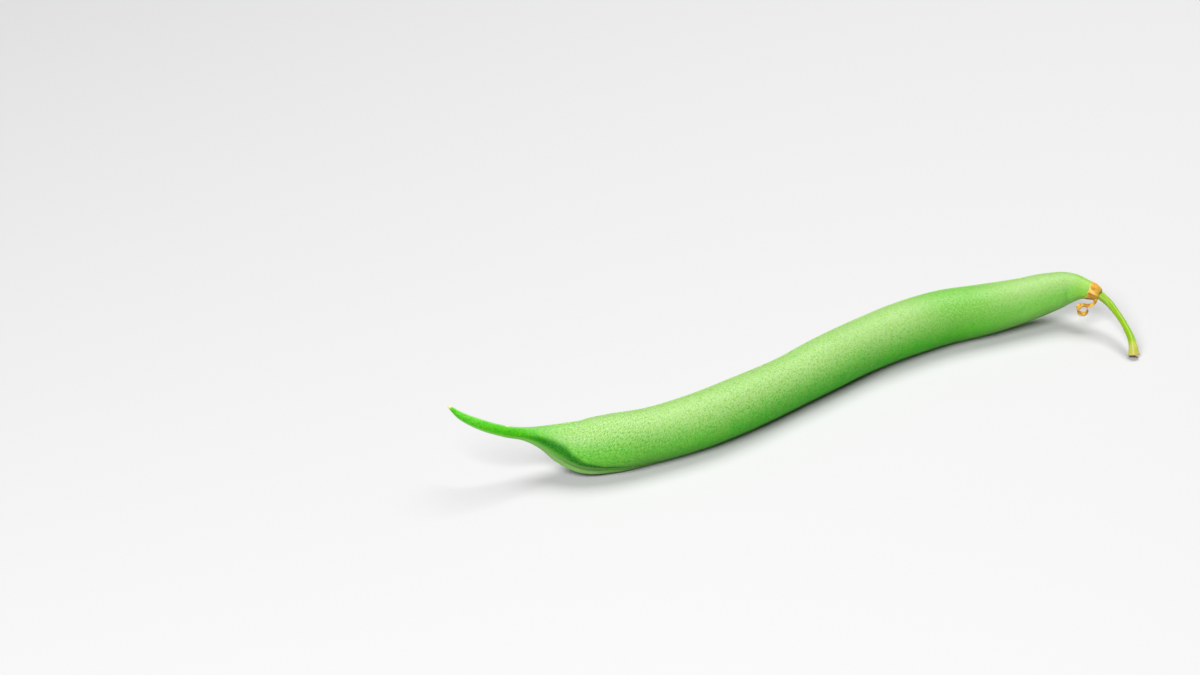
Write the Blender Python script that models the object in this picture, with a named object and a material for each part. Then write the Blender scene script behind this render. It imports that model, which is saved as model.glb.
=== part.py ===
"""Green bean, picked with its stalk, lying on its side.

The pod runs along X, beak at -X and stalk at +X, and rests on the plane z = 0.
Driving dimensions are in millimetres and become metres through MM.
"""
from math import cos, pi, radians, sin

import bmesh
import bpy
from mathutils import Matrix, Vector

MM = 0.001

# Pod: x, y, z of the centreline and half the width across the seams, beak tip first.
POD_LINE = (
    (-65.5, 15.4, 13.6, 0.22),
    (-64.6, 12.8, 12.7, 0.62),
    (-62.4, 10.6, 11.5, 0.85),
    (-58.4, 8.8, 9.7, 0.92),
    (-54.6, 8.2, 8.25, 1.12),
    (-51.3, 7.3, 6.9, 2.05),
    (-48.6, 6.0, 5.75, 3.45),
    (-45.6, 4.4, 4.95, 4.55),
    (-41.0, 3.0, 4.8, 4.98),
    (-33.4, 1.8, 4.65, 4.82),
    (-23.8, 1.4, 4.75, 4.92),
    (-14.2, 2.3, 4.8, 4.98),
    (-3.7, 4.15, 4.7, 4.86),
    (6.3, 6.3, 4.85, 5.05),
    (16.5, 8.3, 4.85, 5.04),
    (26.8, 9.3, 4.98, 5.16),
    (36.0, 9.3, 4.95, 5.08),
    (44.4, 7.9, 4.9, 4.75),
    (52.2, 6.3, 5.35, 4.18),
    (58.0, 5.0, 6.1, 3.66),
    (61.0, 3.75, 6.72, 3.02),
    (62.4, 2.25, 7.05, 2.38),
    (63.0, 1.25, 7.12, 1.94),
    (63.5, 0.1, 7.1, 1.58),
    (64.0, -0.98, 7.03, 1.1),
)
POD_STEPS = 5          # rings from one centreline point to the next
SECTION_STEPS = 28     # corners round the pod's cross-section
VALVE_RATIO = 0.93     # width across the two cheeks, over the width across the seams
SEAM_LEAN = 28.0       # degrees that the upper seam leans back from the vertical
SEAM_RIB = 0.035       # height of each seam's rib, over the pod's half width
SEAM_SHARPNESS = 12    # higher is a narrower rib

# Stem end: the joint between calyx and stalk, and the way the stalk leaves the pod.
STEM_JOINT = Vector((64.42, -1.89, 6.98))
STEM_WAY = Vector((0.424, -0.9035, -0.058))
UNDER_WAY = Vector((-0.4, -0.42, -0.8))     # roughly where the calyx's long tooth lies

# Calyx cup, on its own axis from the stalk's joint towards the pod: radius, height.
CALYX_PROFILE = (
    (0.0, 0.0), (0.9, 0.0), (1.14, 0.35), (1.37, 0.95), (1.62, 1.5), (1.88, 1.95),
    (1.74, 1.95), (1.48, 1.5), (1.24, 0.85), (0.0, 0.85),
)
CALYX_STEPS = 40       # segments round the cup
CALYX_TEETH = 5        # dried teeth round the rim
TOOTH_LENGTH = 0.25    # height of a short tooth above the rim
TOOTH_LONG = 0.6       # how much longer the tooth under the pod is
TOOTH_FOOT = 1.2       # height on the cup where the teeth begin
TOOTH_FLARE = 0.1      # how much a tooth spreads, to clear the pod's widening neck

# Stalk: x, y, z and radius, from the joint to the cut end.
STALK_LINE = (
    (64.51, -2.2, 6.78, 0.76),
    (64.82, -3.25, 6.15, 0.74),
    (64.69, -6.15, 5.07, 0.6),
    (63.68, -10.35, 3.77, 0.6),
    (62.63, -13.35, 2.42, 0.74),
    (62.3, -14.05, 1.9, 0.8),
    (62.1, -14.64, 0.6, 1.0),
)
STALK_STEPS = 6        # rings from one point to the next
STALK_ROUND = 3        # bevel resolution of the stalk's round section

# Dried bract: a withered strand that hangs under the calyx and curls at its end.
BRACT_LINE = (
    (63.34, -1.74, 5.55, 0.22),
    (63.04, -1.74, 5.27, 0.25),
    (62.4, -1.53, 4.96, 0.28),
    (61.18, -0.68, 5.02, 0.24),
    (60.4, -0.6, 4.4, 0.26),
    (60.5, -1.1, 3.68, 0.28),
    (61.2, -1.58, 3.62, 0.24),
    (61.79, -1.5, 4.3, 0.14),
)
BRACT_STEPS = 4
BRACT_ROUND = 1

# Colour and roughness of each part.
FINISHES = {
    "pod": ((0.26, 0.6, 0.13), 0.5),
    "calyx": ((0.5, 0.27, 0.08), 0.8),
    "stalk": ((0.4, 0.6, 0.05), 0.5),
    "dried_bract": ((0.55, 0.33, 0.1), 0.85),
}

FLOOR_BOX = (160.0, 60.0, 4.0)   # cutter below z = 0 that leaves the pod's flat to rest on
WELD = 0.01 * MM
SHARP_EDGE = radians(40.0)


def clear_scene():
    for thing in list(bpy.data.objects):
        bpy.data.objects.remove(thing, do_unlink=True)


def make_collection(name):
    collection = bpy.data.collections.new(name)
    bpy.context.scene.collection.children.link(collection)
    return collection


def make_material(name):
    colour, roughness = FINISHES[name]
    material = bpy.data.materials.new(name)
    material.use_nodes = True
    shader = material.node_tree.nodes["Principled BSDF"]
    shader.inputs["Base Color"].default_value = (*colour, 1.0)
    shader.inputs["Roughness"].default_value = roughness
    shader.inputs["Metallic"].default_value = 0.0
    material.diffuse_color = (*colour, 1.0)
    return material


def line_curve(name, line, steps, collection):
    """A smooth curve through (x, y, z, radius) points given in millimetres."""
    curve = bpy.data.curves.new(name, "CURVE")
    curve.dimensions = "3D"
    curve.twist_mode = "Z_UP"
    curve.resolution_u = steps
    curve.use_fill_caps = True
    spline = curve.splines.new("BEZIER")
    spline.radius_interpolation = "CARDINAL"
    spline.bezier_points.add(len(line) - 1)
    for knot, (x, y, z, radius) in zip(spline.bezier_points, line):
        knot.co = Vector((x, y, z)) * MM
        knot.radius = radius
        knot.handle_left_type = "AUTO"
        knot.handle_right_type = "AUTO"
    piece = bpy.data.objects.new(name, curve)
    collection.objects.link(piece)
    return piece


def as_mesh(source, collection):
    """The evaluated curve as a welded mesh object with the curve's name."""
    bpy.context.view_layer.update()
    name = source.name
    evaluated = source.evaluated_get(bpy.context.evaluated_depsgraph_get())
    mesh = bpy.data.meshes.new_from_object(evaluated)
    bm = bmesh.new()
    bm.from_mesh(mesh)
    bmesh.ops.remove_doubles(bm, verts=bm.verts, dist=WELD)
    bmesh.ops.recalc_face_normals(bm, faces=bm.faces)
    bm.to_mesh(mesh)
    bm.free()
    place = source.matrix_world.copy()
    bpy.data.objects.remove(source, do_unlink=True)
    piece = bpy.data.objects.new(name, mesh)
    piece.matrix_world = place
    collection.objects.link(piece)
    return piece


def finish(piece):
    piece.data.materials.clear()
    piece.data.materials.append(make_material(piece.name))
    piece.data.shade_smooth()
    piece.data.set_sharp_from_angle(angle=SHARP_EDGE)


def section_curve(collection):
    """The pod's cross-section at a half width of one millimetre: an oval with two seam ribs."""
    curve = bpy.data.curves.new("pod_section", "CURVE")
    curve.dimensions = "2D"
    spline = curve.splines.new("POLY")
    spline.use_cyclic_u = True
    spline.points.add(SECTION_STEPS - 1)
    lean = radians(SEAM_LEAN)
    for number, point in enumerate(spline.points):
        angle = 2.0 * pi * number / SECTION_STEPS
        rib = 1.0 + SEAM_RIB * abs(sin(angle)) ** SEAM_SHARPNESS
        across = VALVE_RATIO * cos(angle) * rib
        along = sin(angle) * rib
        point.co = (
            (across * cos(lean) - along * sin(lean)) * MM,
            (across * sin(lean) + along * cos(lean)) * MM,
            0.0,
            1.0,
        )
    section = bpy.data.objects.new("pod_section", curve)
    section.hide_render = True
    section.display_type = "WIRE"
    collection.objects.link(section)
    return section


def floor_cutter(collection):
    bm = bmesh.new()
    bmesh.ops.create_cube(bm, size=1.0)
    bmesh.ops.scale(bm, verts=bm.verts, vec=Vector(FLOOR_BOX) * MM)
    bmesh.ops.translate(bm, verts=bm.verts, vec=(0.0, 0.0, -0.5 * FLOOR_BOX[2] * MM))
    mesh = bpy.data.meshes.new("floor_cutter")
    bm.to_mesh(mesh)
    bm.free()
    cutter = bpy.data.objects.new("floor_cutter", mesh)
    cutter.hide_render = True
    cutter.display_type = "WIRE"
    collection.objects.link(cutter)
    return cutter


def make_pod(parts, cutters):
    curve = line_curve("pod", POD_LINE, POD_STEPS, parts)
    curve.data.bevel_mode = "OBJECT"
    curve.data.bevel_object = section_curve(cutters)
    pod = as_mesh(curve, parts)
    flat = pod.modifiers.new("resting_flat", "BOOLEAN")
    flat.operation = "DIFFERENCE"
    flat.solver = "EXACT"
    flat.object = floor_cutter(cutters)
    finish(pod)
    return pod


def tooth_height(angle):
    """How far the rim stands up at this angle, 0 being under the pod: one long tooth, the rest short."""
    wave = abs(cos(0.5 * CALYX_TEETH * angle)) ** 0.8
    under = max(0.0, cos(angle)) ** 2
    return (TOOTH_LENGTH + TOOTH_LONG * under) * wave


def make_stem_end(parts):
    """An empty at the stalk's joint: +Z towards the pod, +X to the pod's underside."""
    towards_pod = -STEM_WAY.normalized()
    under = (UNDER_WAY - towards_pod * UNDER_WAY.dot(towards_pod)).normalized()
    side = towards_pod.cross(under)
    stem_end = bpy.data.objects.new("stem_end", None)
    stem_end.location = STEM_JOINT * MM
    stem_end.rotation_mode = "QUATERNION"
    stem_end.rotation_quaternion = Matrix((under, side, towards_pod)).transposed().to_quaternion()
    parts.objects.link(stem_end)
    return stem_end


def make_calyx(parts, stem_end):
    bm = bmesh.new()
    points = [bm.verts.new((radius * MM, 0.0, height * MM)) for radius, height in CALYX_PROFILE]
    edges = [bm.edges.new(pair) for pair in zip(points, points[1:])]
    bmesh.ops.spin(
        bm, geom=points + edges, cent=(0.0, 0.0, 0.0), axis=(0.0, 0.0, 1.0),
        angle=2.0 * pi, steps=CALYX_STEPS, use_merge=True,
    )
    bmesh.ops.remove_doubles(bm, verts=bm.verts, dist=WELD)
    bmesh.ops.recalc_face_normals(bm, faces=bm.faces)
    rim = max(height for radius, height in CALYX_PROFILE)
    for vert in bm.verts:
        share = (vert.co.z / MM - TOOTH_FOOT) / (rim - TOOTH_FOOT)
        if share > 0.0:
            angle = Vector((1.0, 0.0)).angle_signed(vert.co.xy)
            lift = share * tooth_height(angle)
            vert.co.xy *= 1.0 + TOOTH_FLARE * lift
            vert.co.z += lift * MM
    mesh = bpy.data.meshes.new("calyx")
    bm.to_mesh(mesh)
    bm.free()
    calyx = bpy.data.objects.new("calyx", mesh)
    parts.objects.link(calyx)
    calyx.parent = stem_end
    finish(calyx)
    return calyx


def make_strand(name, line, steps, roundness, parts):
    """A round strand with its own radius at each point: the stalk and the dried bract."""
    strand = line_curve(name, line, steps, parts)
    strand.data.bevel_depth = MM
    strand.data.bevel_resolution = roundness
    piece = as_mesh(strand, parts)
    finish(piece)
    return piece


def main():
    clear_scene()
    parts = make_collection("green_bean")
    cutters = make_collection("cutters")
    stem_end = make_stem_end(parts)
    make_pod(parts, cutters)
    make_calyx(parts, stem_end)
    make_strand("stalk", STALK_LINE, STALK_STEPS, STALK_ROUND, parts)
    make_strand("dried_bract", BRACT_LINE, BRACT_STEPS, BRACT_ROUND, parts)


main()
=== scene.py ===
from math import atan2, cos, degrees, exp, pi, radians, sin, sqrt

import bmesh
import bpy
from mathutils import Matrix, Vector, noise


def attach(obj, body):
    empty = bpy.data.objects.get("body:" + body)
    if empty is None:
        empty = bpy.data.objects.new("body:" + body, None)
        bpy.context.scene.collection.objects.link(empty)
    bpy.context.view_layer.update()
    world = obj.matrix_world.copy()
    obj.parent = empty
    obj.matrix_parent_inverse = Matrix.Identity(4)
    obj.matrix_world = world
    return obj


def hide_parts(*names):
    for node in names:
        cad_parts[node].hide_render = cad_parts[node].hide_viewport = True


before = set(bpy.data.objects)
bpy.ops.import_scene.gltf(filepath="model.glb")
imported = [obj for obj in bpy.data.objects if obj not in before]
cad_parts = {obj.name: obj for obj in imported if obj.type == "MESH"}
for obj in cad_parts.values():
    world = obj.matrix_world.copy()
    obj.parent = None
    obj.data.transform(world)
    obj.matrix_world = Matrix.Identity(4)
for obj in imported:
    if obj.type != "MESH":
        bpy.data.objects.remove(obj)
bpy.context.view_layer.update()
mm = 0.001


# Routes and tubes

class Route:  # a smooth line through (x, y, z, half width) knots in mm, read by its length in mm
    def __init__(self, knots):
        self.knots = [Vector(knot) for knot in knots]
        self.gaps = [(b.xyz - a.xyz).length for a, b in zip(self.knots, self.knots[1:])]
        self.starts = [sum(self.gaps[:number]) for number in range(len(self.knots))]
        self.length = self.starts[-1]
        slopes = [(b - a) / gap for a, b, gap in zip(self.knots, self.knots[1:], self.gaps)]
        self.slopes = [slopes[0]]
        for before, after, near, far in zip(slopes, slopes[1:], self.gaps, self.gaps[1:]):
            self.slopes.append((before * far + after * near) / (near + far))
        self.slopes.append(slopes[-1])

    def at(self, s):  # the knot that lies s mm along the line
        s = min(max(s, 0.0), self.length)
        number = max(n for n in range(len(self.gaps)) if self.starts[n] <= s)
        gap = self.gaps[number]
        t = (s - self.starts[number]) / gap
        a, b = self.knots[number], self.knots[number + 1]
        fromA, toB = self.slopes[number] * gap, self.slopes[number + 1] * gap
        return (a * (2 * t ** 3 - 3 * t ** 2 + 1) + fromA * (t ** 3 - 2 * t ** 2 + t)
                + b * (3 * t ** 2 - 2 * t ** 3) + toB * (t ** 3 - t ** 2))

    def axes(self, s):  # centre, side and up at s, with the way taken over a short step
        step = 0.15
        way = (self.at(s + step).xyz - self.at(s - step).xyz).normalized()
        side = way.cross(Vector((0.0, 0.0, 1.0))).normalized()
        return self.at(s).xyz, side, side.cross(way)


def ease(low, high, value):  # smooth step from 0 at low to 1 at high
    t = min(max((value - low) / (high - low), 0.0), 1.0)
    return t * t * (3.0 - 2.0 * t)


def hump(value, middle, spread):
    return exp(-((value - middle) / spread) ** 2)


def larger(a, b, round):  # the larger of two values, with the corner between them rounded
    return 0.5 * (a + b + sqrt((a - b) ** 2 + round ** 2))


def table(rows, s, column=1):  # reads a table of (mm along, values) with a smooth step between rows
    for before, after in zip(rows, rows[1:]):
        if s < after[0]:
            share = ease(before[0], after[0], s)
            return before[column] + share * (after[column] - before[column])
    return rows[-1][column]


def evenly(route, step):
    rings = round(route.length / step)
    return [route.length * ring / rings for ring in range(rings + 1)]


def wander(place, size, seed=0.0):  # smooth noise about a point in mm, roughly -1 to 1
    return noise.noise(Vector(place) / size + Vector((seed, seed, seed)))


def spunTube(rings, corners):  # a closed tube whose vertices hold ring number and angle
    bm = bmesh.new()
    line = [bm.verts.new((0.0, 0.0, 0.0))]
    line += [bm.verts.new((ring + 1.0, 1.0, 0.0)) for ring in range(rings)]
    line.append(bm.verts.new((rings + 2.0, 0.0, 0.0)))
    edges = [bm.edges.new(pair) for pair in zip(line, line[1:])]
    bmesh.ops.spin(bm, geom=line + edges, cent=(0, 0, 0), axis=(1, 0, 0), angle=2 * pi,
                   steps=corners, use_merge=True)
    bmesh.ops.remove_doubles(bm, verts=bm.verts, dist=1e-4)
    return bm


def sweep(route, places, corners, section, marks, crowd=0.0, girth=1.0):
    # bends a spun tube along a route; section(s, angle) gives side, up (mm) and the marks' values;
    # crowd gathers the corners towards angles 0 and pi, girth is the UV's mm for each radian
    bm = spunTube(len(places), corners)
    skin = bm.loops.layers.uv.new("skin")
    layers = [bm.verts.layers.float.new(mark) for mark in marks]
    axes = [route.axes(s) for s in places]
    seat = {}
    for vert in bm.verts:
        ring = min(max(round(vert.co.x) - 1, 0), len(places) - 1)
        onAxis = vert.co.yz.length < 0.5
        angle = atan2(vert.co.z, vert.co.y) % (2 * pi)
        angle -= crowd * sin(2 * angle)
        centre, side, up = axes[ring]
        across, along, values = section(places[ring], angle)
        seat[vert] = (places[ring], angle)
        vert.co = centre if onAxis else centre + side * across + up * along
        for layer, value in zip(layers, values):
            vert[layer] = value
    for face in bm.faces:
        angles = [seat[loop.vert][1] for loop in face.loops]
        wraps = max(angles) - min(angles) > pi
        for loop, angle in zip(face.loops, angles):
            turn = angle + 2 * pi if wraps and angle < pi else angle
            loop[skin].uv = (seat[loop.vert][0], turn * girth)  # mm along, mm round
    return bm


def addPiece(name, bm, material, nodes):
    bmesh.ops.recalc_face_normals(bm, faces=bm.faces)
    bmesh.ops.scale(bm, verts=bm.verts, vec=(mm, mm, mm))
    mesh = bpy.data.meshes.new(name)
    bm.to_mesh(mesh)
    bm.free()
    mesh.shade_smooth()
    mesh.materials.append(material)
    piece = bpy.data.objects.new(name, mesh)
    bpy.context.scene.collection.objects.link(piece)
    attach(piece, "root")
    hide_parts(*nodes)
    print("made", name, "with", len(mesh.polygons), "faces")
    return piece


# Materials

class Link:  # a shader socket that takes Python's operators, on numbers
    def __init__(self, paint, socket):
        self.paint = paint
        self.socket = socket

    def maths(self, operation, *values):
        return self.paint.node("Math", {"operation": operation}, dict(enumerate(values)))

    def __add__(self, other):
        return self.maths("ADD", self, other)

    __radd__ = __add__

    def __sub__(self, other):
        return self.maths("SUBTRACT", self, other)

    def __rsub__(self, other):
        return self.maths("SUBTRACT", other, self)

    def __mul__(self, other):
        return self.maths("MULTIPLY", self, other)

    __rmul__ = __mul__


class Paint:  # one material being made
    def __init__(self, name, **constants):
        self.material = bpy.data.materials.new(name)
        self.material.use_nodes = True
        self.tree = self.material.node_tree
        self.shader = self.tree.nodes["Principled BSDF"]
        for socket, value in constants.items():
            self.shader.inputs[socket.replace("_", " ")].default_value = value

    def put(self, value, socket):
        if isinstance(value, Link):
            self.tree.links.new(value.socket, socket)
        elif socket.type == "RGBA" and len(value) == 3:
            socket.default_value = (*value, 1.0)
        else:
            socket.default_value = value

    def node(self, kind, settings, inputs, output=0):
        made = self.tree.nodes.new("ShaderNode" + kind)
        for name, value in settings.items():
            setattr(made, name, value)
        for name, value in inputs.items():
            self.put(value, made.inputs[name])
        return Link(self, made.outputs[output])

    def place(self):  # metres, in the bean's own space
        return self.node("TexCoord", {}, {}, "Object")

    def mark(self, name):
        return self.node("Attribute", {"attribute_name": name}, {}, "Fac")

    def grain(self, place, size, detail=2.0, rough=0.5):  # noise, 0 to 1, of this size in mm
        return self.node("TexNoise", {}, {"Vector": place, "Scale": 1.0 / (size * mm),
                                          "Detail": detail, "Roughness": rough})

    def fibres(self, along, round, lean=0.0, detail=1.0):  # noise of this size in mm on the piece's UV
        uv = self.node("UVMap", {"uv_map": "skin"}, {})
        place = self.node("Mapping", {"vector_type": "TEXTURE"},
                          {"Vector": uv, "Rotation": (0.0, 0.0, lean), "Scale": (along, round, 1.0)})
        return self.node("TexNoise", {}, {"Vector": place, "Scale": 1.0, "Detail": detail})

    def cells(self, place, size):  # how far it is to the middle of a cell, with cells of this size in mm
        return self.node("TexVoronoi", {}, {"Vector": place, "Scale": 1.0 / (size * mm)}, "Distance")

    def ease(self, low, high, value):
        return self.node("MapRange", {"interpolation_type": "SMOOTHSTEP"},
                         {"Value": value, "From Min": low, "From Max": high})

    def mix(self, share, a, b):  # colours
        return self.node("Mix", {"data_type": "RGBA"}, {0: share, 6: a, 7: b}, 2)

    def bump(self, height, depth, strength=1.0):  # height 0 to 1, depth in mm
        return self.node("Bump", {}, {"Height": height, "Strength": strength, "Distance": depth * mm})

    def finish(self, **outputs):
        for socket, value in outputs.items():
            self.put(value, self.shader.inputs[socket.replace("_", " ")])
        return self.material


# The pod: beak, body and neck, grown as one. Tables give (mm from the beak's tip, value).

pod = {
    "line": (  # x, y, z and half width across the seams, in mm, from the beak's tip
        (-65.5, 15.4, 13.6, 0.22), (-64.6, 12.8, 12.7, 0.62), (-62.4, 10.6, 11.5, 0.85),
        (-58.4, 8.8, 9.7, 0.92), (-54.6, 8.2, 8.25, 1.12), (-51.3, 7.3, 6.9, 2.05),
        (-48.6, 6.0, 5.75, 3.45), (-45.6, 4.4, 4.95, 4.55), (-41.0, 3.0, 4.8, 4.98),
        (-33.4, 1.8, 4.65, 4.82), (-23.8, 1.4, 4.75, 4.92), (-14.2, 2.3, 4.8, 4.98),
        (-3.7, 4.15, 4.7, 4.86), (6.3, 6.3, 4.85, 5.05), (16.5, 8.3, 4.85, 5.04),
        (26.8, 9.3, 4.98, 5.16), (36.0, 9.3, 4.95, 5.08), (44.4, 7.9, 4.9, 4.75),
        (52.2, 6.3, 5.35, 4.18), (58.0, 5.0, 6.1, 3.66), (61.0, 3.75, 6.72, 3.02),
        (62.4, 2.25, 7.05, 2.38), (63.0, 1.25, 7.12, 1.94), (63.5, 0.1, 7.1, 1.6),
        (64.0, -0.98, 7.03, 1.1),
    ),
    "corners": 176,
    "keel": (          # mm that the lower seam stands out from the cheeks
        (0, 0.12), (12, 0.14), (17, 0.42), (21, 0.7), (25.5, 0.66), (29.5, 0.46), (34, 0.32),
        (42, 0.22), (128, 0.2), (138, 0.08),
    ),
    "crest": ((0, 0.12), (14, 0.14), (28, 0.1), (128, 0.12), (138, 0.06)),  # and the upper seam
    "cheek": (         # width across the cheeks over the width across the seams
        (0, 0.75), (10, 0.64), (16, 0.6), (20, 0.66), (26, 0.84), (33, 0.93), (138, 0.94),
    ),
    "blade": ((0, 0.3), (12, 0.36), (20, 0.4), (26, 0.55), (40, 0.7), (138, 0.6)),  # mm, half
    "fillet": ((0, 0.1), (13, 0.25), (19, 0.7), (25, 0.3), (30, 0.2), (138, 0.2)),  # mm
    "lean": ((0, 34), (25, 34), (36, 28), (138, 28)),  # degrees the seams' plane leans
    "valleyShade": (        # middle and half width, in degrees round from the lower seam, of the painted shade in the hollow behind the beak
        (13, 46, 20), (17, 52, 36), (20, 52, 36), (22, 48, 30), (24, 38, 18), (26, 29, 9),
        (29, 22, 5), (36, 18, 3),
    ),
    "full": (24.0, 36.0),  # mm along over which the beak swells into the body
    "seeds": 8,
    "firstSeed": 39.0,     # mm along
    "seedGap": 11.4,       # mm, and the next two
    "seedHalf": 4.2,
    "seedSwell": 0.13,
    "dents": ((0.07, 4.0, 9.0), (0.03, 5.0, 2.6)),  # depth, reach round and size, in mm
    "tipRound": 0.4,       # mm along that the tip takes to round off
    "valleyShadeRun": (13.0, 19.0, 29.0, 37.0),  # mm along where the painted shade in the hollow behind the beak starts and ends
    "rimTurn": (20.0, 34.0),                # degrees from a seam that the beak's pale rims reach
    "rimEnd": (14.0, 22.0),
    "bandTurn": (15.0, 26.0),               # and the pale band on the keel behind the beak
    "bandRun": (13.0, 17.0, 26.0, 30.0),
    "dryTip": (0.35, 1.0),                  # mm along where the dry tip fades
    "nick": (11.3, 0.3),   # mm along and half width of the dry nick on the beak
    "press": 0.12,         # mm over which the underside flattens on the floor
    "step": 0.36,          # mm between rings
    "endStep": 0.14,       # taken off it at the beak and the neck
    "tipStep": 0.12,       # and at the tip
    "tipRun": (0.0, 3.0),  # mm along where the rings spread out
    "beakRun": (30.0, 45.0),
    "neckRun": (-18.0, -8.0),  # mm from the end where they draw in again
}
podRoute = Route(pod["line"])
print("pod is", round(podRoute.length, 1), "mm along its line")


def span(run, s):  # 1 between a smooth start and a smooth end, 0 beyond them
    start, full, fade, end = run
    return ease(start, full, s) * (1.0 - ease(fade, end, s))


def podRings():  # closer together where the shape changes quickly
    places, s = [], 0.0
    while s < podRoute.length:
        places.append(s)
        tip = 1.0 - ease(*pod["tipRun"], s)
        beak = 1.0 - ease(*pod["beakRun"], s)
        neck = ease(*pod["neckRun"], s - podRoute.length)
        s += pod["step"] - pod["endStep"] * max(beak, neck) - pod["tipStep"] * tip
    return places + [podRoute.length]


def podSection(s, angle):  # angle 0 is the lower seam, pi the upper one
    half = podRoute.at(s).w
    half *= max(sqrt(1.0 - (1.0 - min(s / pod["tipRound"], 1.0)) ** 2), 0.05)
    keel = min(table(pod["keel"], s), 0.5 * half)
    crest = min(table(pod["crest"], s), 0.3 * half)
    cheek = half * table(pod["cheek"], s)
    blade = min(table(pod["blade"], s), 0.8 * cheek)
    full = ease(*pod["full"], s)
    q, k = sin(angle), cos(angle)
    tall = half - 0.5 * (keel + crest)     # the oval that the cheeks make
    shift = 0.5 * (keel - crest) / tall
    a = (q / cheek) ** 2 + (k / tall) ** 2
    b = k * shift / tall
    oval = (-b + sqrt(max(b * b - a * (shift ** 2 - 1.0), 0.0))) / a
    for seed in range(pod["seeds"]):
        middle = pod["firstSeed"] + pod["seedGap"] * seed + 1.3 * sin(2.3 * seed)  # unevenly apart
        swell = pod["seedSwell"] * (0.75 + 0.25 * cos(1.7 * seed))
        oval += swell * hump(s, middle, pod["seedHalf"]) * full * q * q
    for depth, around, size in pod["dents"]:
        oval += full * depth * wander((s, around * q, around * k), size)
    rib = 1.0 / sqrt((k / half) ** 2 + (q / blade) ** 2)
    reach = larger(oval, rib, min(table(pod["fillet"], s), 0.3 * half))
    lean = radians(table(pod["lean"], s))
    across, along = reach * q, -reach * k
    turn = degrees(min(angle, 2 * pi - angle))
    # painted shade in the hollow where the beak meets the body
    middle, spread = table(pod["valleyShade"], s, 1), table(pod["valleyShade"], s, 2)
    valleyShade = hump(turn, middle, spread if turn > middle else 0.75 * spread)
    valleyShade *= 1.0 - ease(0.6, 1.5, (turn - middle) / spread)
    valleyShade *= span(pod["valleyShadeRun"], s)
    seam = ease(-0.06, 0.2, rib - oval)
    rim = (1.0 - ease(*pod["rimTurn"], min(turn, 180.0 - turn))) * (1.0 - ease(*pod["rimEnd"], s))
    band = (1.0 - ease(*pod["bandTurn"], turn)) * span(pod["bandRun"], s)
    seam = max(seam, rim, band)
    dry = max(1.0 - ease(*pod["dryTip"], s), hump(s, *pod["nick"]) * ease(150.0, 170.0, turn))
    return (across * cos(lean) - along * sin(lean), across * sin(lean) + along * cos(lean),
            (s, turn / 180.0, seam, valleyShade, dry))


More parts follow.
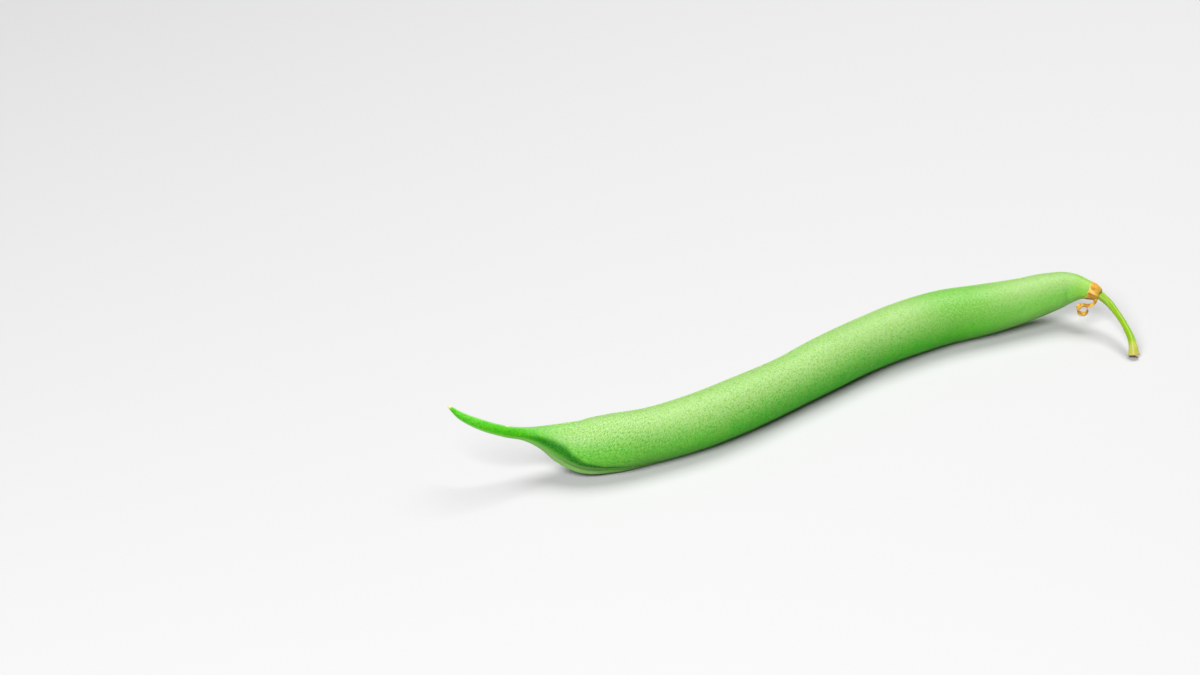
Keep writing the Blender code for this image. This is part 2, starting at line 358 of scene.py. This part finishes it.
def makePodSkin():
    look = {
        "back": (0.215, 0.355, 0.11),      # the side with the upper seam, paler with painted sheen
        "backPale": (0.31, 0.48, 0.2),
        "front": (0.03, 0.37, 0.0),        # the side with the lower seam, deeper green with painted shade
        "frontPale": (0.11, 0.51, 0.01),
        "tailShade": (0.1, 0.32, 0.03),         # painted shade: a darker, greener band before the neck
        # paler on the lower side near the neck, where the painted shade fades
        "neckPale": (0.23, 0.52, 0.1),
        "belly": (0.13, 0.31, 0.06),       # under the front end
        "deep": (0.035, 0.23, 0.003),
        "beak": (0.03, 0.34, 0.0),
        "olive": (0.17, 0.35, 0.001),
        "shade": (0.014, 0.22, 0.0),
        # painted shade in the hollow behind the beak
        "valleyShade": (0.005, 0.11, 0.001),
        "keel": (0.13, 0.25, 0.07),
        "rim": (0.15, 0.4, 0.06),
        "neck": (0.18, 0.37, 0.03),
        "tip": (0.62, 0.5, 0.28),
        "patch": 9.0,                      # sizes in mm, the widest first
        "blotch": 1.3,
        "pebble": 0.34,
        "fine": 0.2,
        "streak": (0.16, 0.55),            # mm along and round, on the front end
        "streakLean": -40.0,
        "shadeToSheenSides": (0.19, 0.66),             # shares of the way round from the lower seam, over which the painted shade gives way to the painted sheen
        "beakEnd": (13.0, 24.0),           # mm along, where each colour starts or ends
        "keelStart": (12.0, 20.0),
        "frontEnd": (30.0, 55.0),
        "farStart": (60.0, 120.0),
        "tailShadeStart": (96.0, 109.0),
        "tailShadeEnd": (111.0, 125.0),
        "paleStart": (108.0, 126.0),
        "neckStart": (-6.0, -1.0),         # mm from the pod's end
        "bump": (0.06, 0.8),               # depth in mm, and strength
    }
    paint = Paint("podSkin", Subsurface_Weight=0.12, Subsurface_Scale=0.002,
                  Subsurface_Radius=(0.6, 1.0, 0.25), Specular_IOR_Level=0.14)
    place = paint.place()
    s = paint.mark("along")
    valleyShade = paint.mark("valleyShade")
    patch = paint.grain(place, look["patch"], 3.0)
    blotch = paint.grain(place, look["blotch"])
    pebble = paint.cells(place, look["pebble"])
    fine = paint.grain(place, look["fine"])
    streak = paint.fibres(*look["streak"], radians(look["streakLean"]))
    front = 1.0 - paint.ease(*look["frontEnd"], s)
    far = paint.ease(*look["farStart"], s)
    light = 0.35 * (1.0 - pebble) + 0.65 * fine
    light = light + 0.8 * front * (streak - light)
    turn = paint.mark("turn") + 0.1 * (patch - 0.5) + 0.08 * (blotch - 0.5)
    # painted light: deeper green towards the lower seam as painted shade, paler towards the upper seam as
    # painted sheen
    round = paint.ease(*look["shadeToSheenSides"], turn)
    tailShade = paint.ease(*look["tailShadeStart"], s) * (1.0 - paint.ease(*look["tailShadeEnd"], s))
    colour = paint.mix(round, look["front"], look["back"])
    colour = paint.mix(0.65 * front * (1.0 - round), colour, look["belly"])
    # the lower side's painted shade fades to a paler green near the neck
    colour = paint.mix(0.75 * paint.ease(*look["paleStart"], s) * (1.0 - round), colour, look["neckPale"])
    # pale grain colour, paler towards the upper seam as painted sheen
    pale = paint.mix(round, look["frontPale"], look["backPale"])
    colour = paint.mix(0.2 * paint.ease(0.4, 0.6, blotch), colour, look["neck"])
    # painted shade in a band before the neck, stronger towards the upper seam
    colour = paint.mix(tailShade * (0.25 + 0.5 * round), colour, look["tailShade"])
    grainy = 0.48 - 0.22 * far + 0.17 * front
    # grain pale on the raised cells and deep green between them: the skin's own mottling with painted
    # highlight on the bumps and painted shade between them
    colour = paint.mix(grainy * paint.ease(0.47, 0.66, light), colour, pale)
    colour = paint.mix(grainy * (1.0 - paint.ease(0.33, 0.5, light)), colour, look["deep"])
    beak = 1.0 - paint.ease(*look["beakEnd"], s + 10.0 * (streak - 0.5))
    bright = paint.mix(0.8 * paint.ease(0.5, 0.7, fine), look["beak"], look["olive"])
    bright = paint.mix(0.55 * paint.ease(0.5, 0.7, pebble), bright, look["shade"])
    colour = paint.mix(0.95 * beak, colour, bright)
    # painted shade in the hollow behind the beak, streaked, over the junction's own darker green
    dark = valleyShade * (0.5 + 1.1 * paint.ease(0.3, 0.7, streak))
    colour = paint.mix(0.95 * dark, colour, look["valleyShade"])
    seam = paint.mix(1.0 - paint.ease(*look["keelStart"], s), look["keel"], look["rim"])
    colour = paint.mix(0.85 * paint.mark("seam"), colour, seam)
    end = s - podRoute.length + 1.5 * (blotch - 0.5)
    colour = paint.mix(0.65 * paint.ease(*look["neckStart"], end), colour, look["neck"])
    colour = paint.mix(paint.mark("dry"), colour, look["tip"])
    normal = paint.bump(light, *look["bump"])
    return paint.finish(Base_Color=colour, Normal=normal, Roughness=0.4 + 0.16 * fine)


def makePod():
    bm = sweep(podRoute, podRings(), pod["corners"], podSection,
               ("along", "turn", "seam", "valleyShade", "dry"), crowd=0.33, girth=4.8)
    press = pod["press"]
    for vert in bm.verts:
        if vert.co.z < press:
            vert.co.z = press * exp(vert.co.z / press - 1.0)  # flattens softly where it rests
    return addPiece("beanPod", bm, makePodSkin(), ["pod"])


# The stalk, from the calyx to its cut end

stalk = {
    "line": (
        (64.45, -1.95, 6.75, 0.82), (64.82, -3.25, 6.12, 0.74), (64.69, -6.15, 5.07, 0.6),
        (63.68, -10.35, 3.77, 0.6), (62.63, -13.35, 2.5, 0.72), (62.3, -14.05, 1.9, 0.8),
        (62.1, -14.66, 0.58, 1.06),
    ),
    "corners": 96,
    "step": 0.12,       # mm between rings
    "ridges": 5,
    "ridgeHeight": 0.05,
    "rough": 0.03,      # mm
    "face": 0.01,       # mm past the line's end over which the cut face closes
    "faceRings": (0.04, 0.1, 0.3, 0.6, 1.0),  # shares of the way in to its middle
}
stalkRoute = Route(stalk["line"])


def stalkSection(s, angle):
    half = stalkRoute.at(s).w
    ridges = sin(stalk["ridges"] * angle + 0.15 * s)
    reach = half + stalk["ridgeHeight"] * ridges * min(half, 0.7)
    reach += stalk["rough"] * wander((s, cos(angle), sin(angle)), 0.9)
    face = (s - stalkRoute.length) / stalk["face"]  # rings past the end lie on the cut face
    if face > 0.0:
        reach *= 1.0 - 0.9 * face
    return reach * cos(angle), reach * sin(angle), (s, 0.5 + 0.5 * ridges)


def makeStalkSkin():
    look = {
        "green": (0.11, 0.29, 0.0),
        "ridge": (0.27, 0.34, 0.001),
        "dull": (0.36, 0.37, 0.06),
        "cut": (0.42, 0.25, 0.07),
        "fibre": (2.5, 0.16),   # mm along and round
        "fine": 0.25,
        "dullRun": (-3.0, -1.2),  # mm from the cut end
        "cutRun": (-0.25, 0.0),
        "bump": (0.05, 0.8),      # depth in mm, and strength
    }
    paint = Paint("stalkSkin", Roughness=0.42, Subsurface_Weight=0.1, Subsurface_Scale=0.001,
                  Subsurface_Radius=(0.6, 1.0, 0.2), Sheen_Weight=0.1, Specular_IOR_Level=0.26)
    place = paint.place()
    s = paint.mark("along")
    fibre = paint.fibres(*look["fibre"])
    fine = paint.grain(place, look["fine"])
    pale = 0.35 * paint.mark("ridge") + 0.4 * paint.ease(0.35, 0.65, fibre)
    colour = paint.mix(pale, look["green"], look["ridge"])
    end = s - stalkRoute.length + 0.8 * (fine - 0.5)
    colour = paint.mix(paint.ease(*look["dullRun"], end), colour, look["dull"])
    colour = paint.mix(paint.ease(*look["cutRun"], end), colour, look["cut"])
    normal = paint.bump(0.6 * fibre + 0.4 * fine, *look["bump"])
    return paint.finish(Base_Color=colour, Normal=normal)


def makeStalk():
    places = evenly(stalkRoute, stalk["step"])
    places += [stalkRoute.length + stalk["face"] * share for share in stalk["faceRings"]]
    bm = sweep(stalkRoute, places, stalk["corners"], stalkSection, ("along", "ridge"))
    return addPiece("beanStalk", bm, makeStalkSkin(), ["stalk"])


# The dried calyx that clasps the neck

calyx = {
    "joint": Vector((64.42, -1.89, 6.98)),      # where the stalk joins, in mm
    "way": Vector((0.424, -0.9035, -0.058)),    # the way its axis points, away from the pod
    "under": Vector((-0.4, -0.42, -0.8)),       # towards the long tooth
    "outline": (  # radius and height from the joint: outside up to the rim, then inside
        (0.6, -0.04), (0.84, 0.0), (1.02, 0.12), (1.19, 0.34), (1.35, 0.62), (1.47, 0.92),
        (1.57, 1.18), (1.64, 1.4), (1.7, 1.56), (1.76, 1.68), (1.79, 1.75), (1.73, 1.76),
        (1.67, 1.66), (1.55, 1.45), (1.42, 1.2), (1.3, 0.9),
    ),
    "corners": 160,
    "teeth": ((4.0, 1.05, 46.0), (66.0, 0.2, 22.0), (120.0, 0.22, 24.0), (176.0, 0.55, 34.0),
              (236.0, 0.35, 30.0), (292.0, 0.45, 34.0)),  # angle, height in mm, half width in degrees
    "foot": 1.0,          # mm up the cup where the teeth begin
    "ridges": ((62.0, 0.16, 12.0), (150.0, 0.1, 12.0), (262.0, 0.12, 14.0)),  # where sepals overlap
    "wind": 16.0,         # degrees that a ridge turns in each mm up the cup
    "inside": 0.7,        # mm from the axis within which nothing crumples
}


def toothHeight(turn):
    best = 0.0
    for middle, height, half in calyx["teeth"]:
        off = abs((turn - middle + 180.0) % 360.0 - 180.0) / half
        if off < 1.0:
            best = max(best, height * (1.0 - off ** 1.6))
    return best


def ridgeHeight(turn, height):  # the ridges wind a little round the cup
    turn -= calyx["wind"] * height
    return sum(rise * hump((turn - middle + 180.0) % 360.0 - 180.0, 0.0, half)
               for middle, rise, half in calyx["ridges"])


def makeCalyxSkin():
    look = {
        "gold": (0.44, 0.23, 0.004),
        "brown": (0.3, 0.14, 0.001),
        "tan": (0.7, 0.4, 0.1),
        "dark": (0.2, 0.08, 0.001),
        "base": (0.36, 0.26, 0.01),
        "patch": 0.9,           # sizes in mm
        "fine": 0.2,
        "vein": (1.2, 0.3),
        "bump": (0.1, 0.9),     # depth in mm, and strength
    }
    paint = Paint("calyxSkin", Roughness=0.78, Sheen_Weight=0.1)
    place = paint.place()
    height = paint.mark("height")
    patch = paint.grain(place, look["patch"], 3.0)
    fine = paint.grain(place, look["fine"], 3.0, 0.6)
    vein = paint.fibres(*look["vein"], detail=2.0)
    colour = paint.mix(paint.ease(0.38, 0.62, patch), look["gold"], look["brown"])
    colour = paint.mix(0.5 * paint.ease(0.52, 0.72, vein), colour, look["dark"])
    pale = paint.mark("ridge") + 0.6 * paint.mark("rim") + 0.7 * (fine - 0.5)
    colour = paint.mix(0.9 * paint.ease(0.3, 0.7, pale), colour, look["tan"])
    colour = paint.mix(0.5 * (1.0 - paint.ease(0.0, 0.4, height)), colour, look["base"])
    normal = paint.bump(0.5 * vein + 0.5 * fine, *look["bump"])
    return paint.finish(Base_Color=colour, Normal=normal, Roughness=0.7 + 0.2 * fine)


def makeCalyx():
    up = -calyx["way"].normalized()
    under = (calyx["under"] - up * calyx["under"].dot(up)).normalized()
    turn = Matrix((under, up.cross(under), up)).transposed()
    bm = bmesh.new()
    outline = [(0.0, -0.1)] + list(calyx["outline"]) + [(0.0, calyx["outline"][-1][1])]
    line = [bm.verts.new((radius, 0.0, height)) for radius, height in outline]
    edges = [bm.edges.new(pair) for pair in zip(line, line[1:])]
    bmesh.ops.spin(bm, geom=line + edges, cent=(0, 0, 0), axis=(0, 0, 1), angle=2 * pi,
                   steps=calyx["corners"], use_merge=True)
    bmesh.ops.remove_doubles(bm, verts=bm.verts, dist=1e-4)
    skin = bm.loops.layers.uv.new("skin")
    heightMark = bm.verts.layers.float.new("height")
    rimMark = bm.verts.layers.float.new("rim")
    ridgeMark = bm.verts.layers.float.new("ridge")
    for face in bm.faces:
        for loop in face.loops:
            x, y, z = loop.vert.co
            loop[skin].uv = (z, 1.7 * atan2(y, x))
    top = max(height for radius, height in calyx["outline"])
    for vert in bm.verts:
        x, y, z = vert.co
        radius, angle = sqrt(x * x + y * y), atan2(y, x)
        share = ease(calyx["foot"], top, z)
        lift = share * toothHeight(degrees(angle))
        fold = 0.05 * sin(9.0 * angle + 2.0 * z) + 0.035 * sin(21.0 * angle + 3.0 * sin(2.0 * angle))
        crumple = 0.1 * wander((x, y, z + lift), 0.9) + 0.05 * wander((x, y, z + lift), 0.3, 7.0)
        ridge = ridgeHeight(degrees(angle), z)
        vert[ridgeMark] = 6.0 * ridge
        if radius > calyx["inside"]:
            grow = 1.0 - 0.04 * lift + (fold + crumple) * ease(0.1, 0.9, z) * 0.6
            grow += ridge * ease(0.1, 0.5, z) / radius
            vert.co = (x * grow, y * grow, z + lift + 0.15 * crumple)
        vert[heightMark] = (z + lift) / top
        vert[rimMark] = ease(0.75, 1.0, share)
    bmesh.ops.rotate(bm, verts=bm.verts, cent=(0, 0, 0), matrix=turn)
    bmesh.ops.translate(bm, verts=bm.verts, vec=calyx["joint"])
    return addPiece("beanCalyx", bm, makeCalyxSkin(), ["calyx"])


# The withered bract

bract = {
    "line": (
        (63.6, -1.37, 6.47, 0.2), (63.56, -1.7, 5.89, 0.3), (63.04, -1.74, 5.29, 0.27),
        (62.4, -1.53, 4.96, 0.33), (61.77, -1.09, 5.0, 0.3), (61.18, -0.68, 5.02, 0.3),
        (60.62, -0.51, 4.72, 0.4), (60.32, -0.64, 4.21, 0.44), (60.46, -1.03, 3.73, 0.46),
        (60.93, -1.45, 3.56, 0.42), (61.49, -1.67, 3.79, 0.34), (61.79, -1.59, 4.23, 0.24),
        (61.79, -1.37, 4.57, 0.1),
    ),
    "corners": 40,
    "step": 0.07,      # mm between rings
    "wide": 1.15,      # of the half width
    "twist": 0.22,     # radians in each mm
    "crinkle": 0.45,
}
bractRoute = Route(bract["line"])


def bractSection(s, angle):  # a thin twisted ribbon
    half = bractRoute.at(s).w
    flat = 0.55 + 0.2 * sin(2.1 * s)
    across, along = bract["wide"] * half * cos(angle), flat * half * sin(angle)
    crinkle = 1.0 + bract["crinkle"] * wander((s, 0.7 * cos(angle), 0.7 * sin(angle)), 0.5)
    twist = bract["twist"] * s
    return ((across * cos(twist) - along * sin(twist)) * crinkle,
            (across * sin(twist) + along * cos(twist)) * crinkle, ())


def makeBractSkin():
    look = {
        "tan": (0.62, 0.35, 0.04),
        "brown": (0.33, 0.15, 0.001),
        "patch": 0.9,      # sizes in mm
        "fine": 0.12,
        "bump": (0.04, 0.8),   # depth in mm, and strength
    }
    paint = Paint("bractSkin", Roughness=0.8)
    place = paint.place()
    patch = paint.grain(place, look["patch"])
    fine = paint.grain(place, look["fine"])
    colour = paint.mix(paint.ease(0.4, 0.62, patch), look["tan"], look["brown"])
    return paint.finish(Base_Color=colour, Normal=paint.bump(fine, *look["bump"]))


def makeBract():
    places = evenly(bractRoute, bract["step"])
    bm = sweep(bractRoute, places, bract["corners"], bractSection, ())
    return addPiece("driedBract", bm, makeBractSkin(), ["dried_bract"])


# Stage: floor, light and camera

stage = {
    "target": Vector((-0.01708, 0.04428, 0.0)),  # metres, the floor point in the middle of the view
    "distance": 0.5294,
    "heading": 32.08,        # degrees from +Y towards +X that the camera looks
    "elevation": 28.0,
    "lens": 85.0,
    "softboxes": (           # name, degrees right of the camera, degrees up, metres away, size, watts
        ("topBox", -25.0, 44.0, 0.9, 0.5, 13.0),
        ("backBox", 150.0, 62.0, 0.9, 0.6, 10.5),
    ),
    "world": 0.12,
    "floor": (0.4, 0.4, 0.4),
}


def makeFloor():
    bm = bmesh.new()
    bmesh.ops.create_grid(bm, x_segments=1, y_segments=1, size=3.0)
    mesh = bpy.data.meshes.new("floor")
    bm.to_mesh(mesh)
    bm.free()
    paint = Paint("floorPaint", Roughness=0.7)
    mesh.materials.append(paint.finish(Base_Color=stage["floor"]))
    floor = bpy.data.objects.new("floor", mesh)
    bpy.context.scene.collection.objects.link(floor)


def turned(degreesRight, degreesUp):  # unit vector from the bean, as seen from the camera's side
    turn = radians(stage["heading"] + 180.0 - degreesRight)
    rise = radians(degreesUp)
    return Vector((sin(turn) * cos(rise), cos(turn) * cos(rise), sin(rise)))


def addSoftbox(name, degreesRight, degreesUp, away, size, power):
    light = bpy.data.lights.new(name, "AREA")
    light.shape = "DISK"
    light.size = size
    light.energy = power
    box = bpy.data.objects.new(name, light)
    box.location = turned(degreesRight, degreesUp) * away
    box.rotation_euler = (-box.location).to_track_quat("-Z", "Y").to_euler()
    bpy.context.scene.collection.objects.link(box)


def makeStage():
    makeFloor()
    back = turned(0.0, stage["elevation"])
    camera = bpy.data.cameras.new("camera")
    camera.lens = stage["lens"]
    camera.clip_start = 0.01
    view = bpy.data.objects.new("camera", camera)
    view.location = stage["target"] + back * stage["distance"]
    view.rotation_euler = (-back).to_track_quat("-Z", "Y").to_euler()
    bpy.context.scene.collection.objects.link(view)
    bpy.context.scene.camera = view
    for softbox in stage["softboxes"]:
        addSoftbox(*softbox)
    print("stage has", len(stage["softboxes"]), "softboxes")
    world = bpy.data.worlds.new("studio")
    world.use_nodes = True
    sky = world.node_tree.nodes["Background"]
    sky.inputs["Color"].default_value = (1.0, 1.0, 1.0, 1.0)
    sky.inputs["Strength"].default_value = stage["world"]
    bpy.context.scene.world = world
    bpy.context.scene.view_settings.view_transform = "Standard"


makePod()
makeStalk()
makeCalyx()
makeBract()
makeStage()
